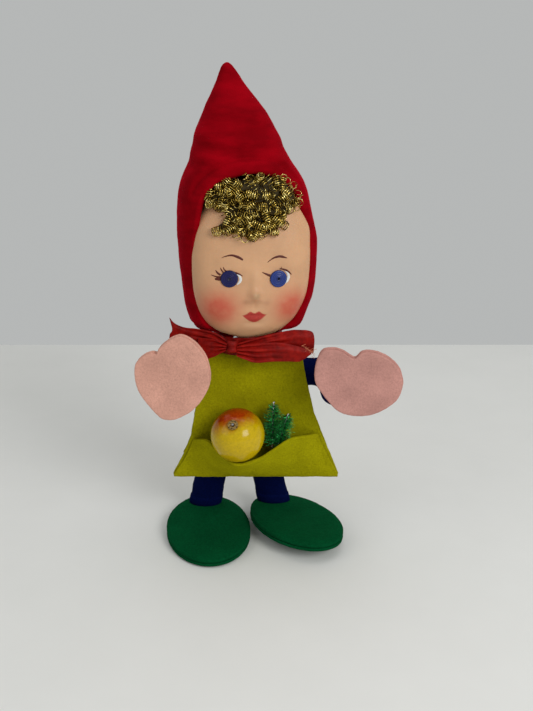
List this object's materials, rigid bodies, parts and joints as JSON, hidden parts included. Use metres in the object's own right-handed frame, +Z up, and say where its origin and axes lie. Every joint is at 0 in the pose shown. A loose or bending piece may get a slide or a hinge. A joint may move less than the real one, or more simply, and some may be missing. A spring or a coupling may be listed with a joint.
{
  "type": "felt doll figurine",
  "caption": "Small felt and wire doll in a pointed velvet hood, with a pocketed tunic that holds an apple and a sprig, mitten hands and weighted oval shoes, posed by bending.",
  "frame": {"origin": "on the ground, under the middle of the bounding box", "axes": "+Z up, the doll faces -Y, its own right hand is on the -X side"},
  "size_m": [0.0803, 0.0489, 0.1499],
  "materials": {
    "wire": "drawn wire",
    "wadding": "wound cotton",
    "navy_felt": "fine felt",
    "olive_felt": "thick craft felt",
    "apple_gloss": "glossy, red blush over yellow",
    "bead_eye_metal": "darkened",
    "green_tinsel": "metallic film",
    "red_satin": "woven satin ribbon",
    "head_cloth": "thin cotton",
    "painted_mask": "satin painted skin",
    "navy_disc": "ringed disc",
    "blue_disc": "ringed disc",
    "gold_tinsel": "metallic film",
    "red_velvet": "short pile velvet",
    "pink_felt": "craft felt",
    "green_felt": "craft felt",
    "shoe_steel": "stamped disc"
  },
  "bodies": {
    "torso": {"spine_wire": "wire", "torso_padding": "wadding", "torso_cover": "navy_felt", "tunic_front": "olive_felt", "tunic_back": "olive_felt", "apple_bead": "apple_gloss", "apple_eye": "bead_eye_metal", "apple_wire": "wire", "sprig_stem": "wire", "sprig_tinsel": "green_tinsel", "ribbon_band": "red_satin", "ribbon_bow": "red_satin"},
    "neck": {"neck_wire": "wire", "neck_padding": "wadding"},
    "head": {"head_wire": "wire", "head_stuffing": "wadding", "head_cloth": "head_cloth", "face_mask": "painted_mask", "eye_disc_right": "navy_disc", "eye_disc_left": "blue_disc", "hair_tinsel": "gold_tinsel", "hood": "red_velvet", "hood_stuffing": "wadding"},
    "arm_right": {"arm_wire_right": "wire", "arm_padding_right": "wadding", "sleeve_right": "navy_felt"},
    "hand_right": {"hand_wire_right": "wire", "hand_front_right": "pink_felt", "hand_back_right": "pink_felt"},
    "leg_right": {"leg_wire_right": "wire", "leg_padding_right": "wadding", "trouser_leg_right": "navy_felt"},
    "foot_right": {"foot_wire_right": "wire", "shoe_sole_right": "green_felt", "shoe_weight_right": "shoe_steel", "shoe_upper_right": "green_felt"},
    "arm_left": {"arm_wire_left": "wire", "arm_padding_left": "wadding", "sleeve_left": "navy_felt"},
    "hand_left": {"hand_wire_left": "wire", "hand_front_left": "pink_felt", "hand_back_left": "pink_felt"},
    "leg_left": {"leg_wire_left": "wire", "leg_padding_left": "wadding", "trouser_leg_left": "navy_felt"},
    "foot_left": {"foot_wire_left": "wire", "shoe_sole_left": "green_felt", "shoe_weight_left": "shoe_steel", "shoe_upper_left": "green_felt"}
  },
  "joints": [
    {"name": "head_turn", "type": "hinge", "parent": "torso", "child": "neck", "pos_m": [-0.0068, 0.0035, 0.0675], "axis": [0, 0, 1], "range_deg": [-20, 20]},
    {"name": "head_nod", "type": "hinge", "parent": "neck", "child": "head", "pos_m": [-0.0068, 0.0035, 0.0675], "axis": [1, 0, 0], "range_deg": [-10, 4]},
    {"name": "shoulder_raise_right", "type": "hinge", "parent": "torso", "child": "arm_right", "pos_m": [-0.0153, 0.0055, 0.0545], "axis": [0, 1, 0], "range_deg": [-10, 30]},
    {"name": "shoulder_raise_left", "type": "hinge", "parent": "torso", "child": "arm_left", "pos_m": [0.0017, 0.0055, 0.0545], "axis": [0, -1, 0], "range_deg": [-15, 28]},
    {"name": "wrist_turn_right", "type": "hinge", "parent": "arm_right", "child": "hand_right", "pos_m": [-0.0273, -0.0145, 0.0545], "axis": [0, 1, 0], "range_deg": [-20, 20]},
    {"name": "wrist_turn_left", "type": "hinge", "parent": "arm_left", "child": "hand_left", "pos_m": [0.0202, -0.0125, 0.0545], "axis": [0, -1, 0], "range_deg": [-20, 20]},
    {"name": "hip_swing_right", "type": "hinge", "parent": "torso", "child": "leg_right", "pos_m": [-0.0167, 0.0055, 0.0322], "axis": [-1, 0, 0], "range_deg": [-4, 25]},
    {"name": "hip_swing_left", "type": "hinge", "parent": "torso", "child": "leg_left", "pos_m": [-0.0035, 0.0055, 0.0322], "axis": [-1, 0, 0], "range_deg": [-4, 25]},
    {"name": "ankle_tilt_right", "type": "hinge", "parent": "leg_right", "child": "foot_right", "pos_m": [-0.02204, 0.01269, 0.0043], "axis": [0.9914, 0.1305, 0], "range_deg": [-10, 10]},
    {"name": "ankle_tilt_left", "type": "hinge", "parent": "leg_left", "child": "foot_left", "pos_m": [0.00155, 0.01233, 0.00529], "axis": [0.9215, 0.3792, -0.0836], "range_deg": [-10, 10]}
  ]
}
